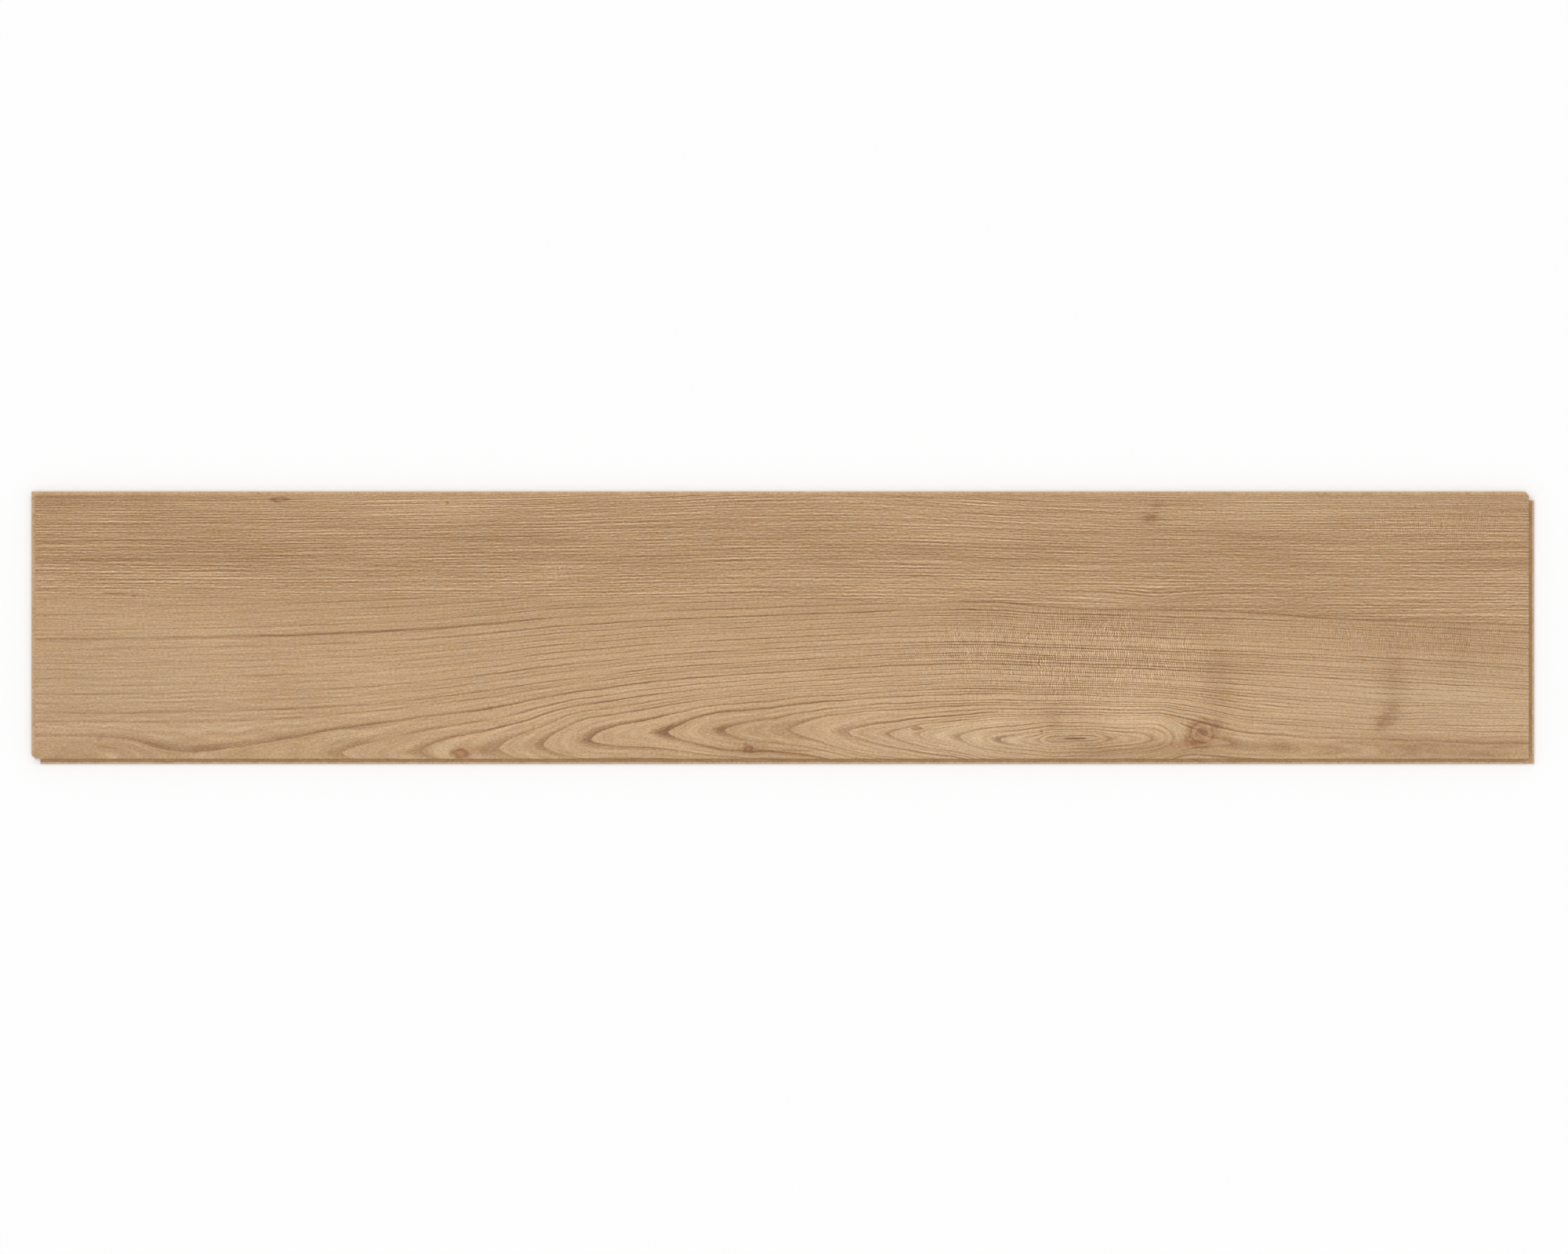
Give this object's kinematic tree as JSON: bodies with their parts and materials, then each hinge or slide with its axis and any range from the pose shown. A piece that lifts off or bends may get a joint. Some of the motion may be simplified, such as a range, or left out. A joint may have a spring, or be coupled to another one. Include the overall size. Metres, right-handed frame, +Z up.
{
  "type": "laminate floor plank",
  "caption": "Flat oak-look laminate floor board, with click tongues and matching locking grooves along its edges, laid edge to edge as a floating floor.",
  "frame": {"origin": "on the underside, below the middle of the decor face", "axes": "+X along the plank towards its grooved end, +Y across it towards its tongued side, +Z up out of the decor face"},
  "size_m": [1.391, 0.252, 0.008],
  "materials": {
    "laminate": "printed oak decor under a matt wear layer, bare fibreboard on the milled edges, brown backing film underneath"
  },
  "bodies": {
    "root": {"plank": "laminate"}
  },
  "joints": []
}
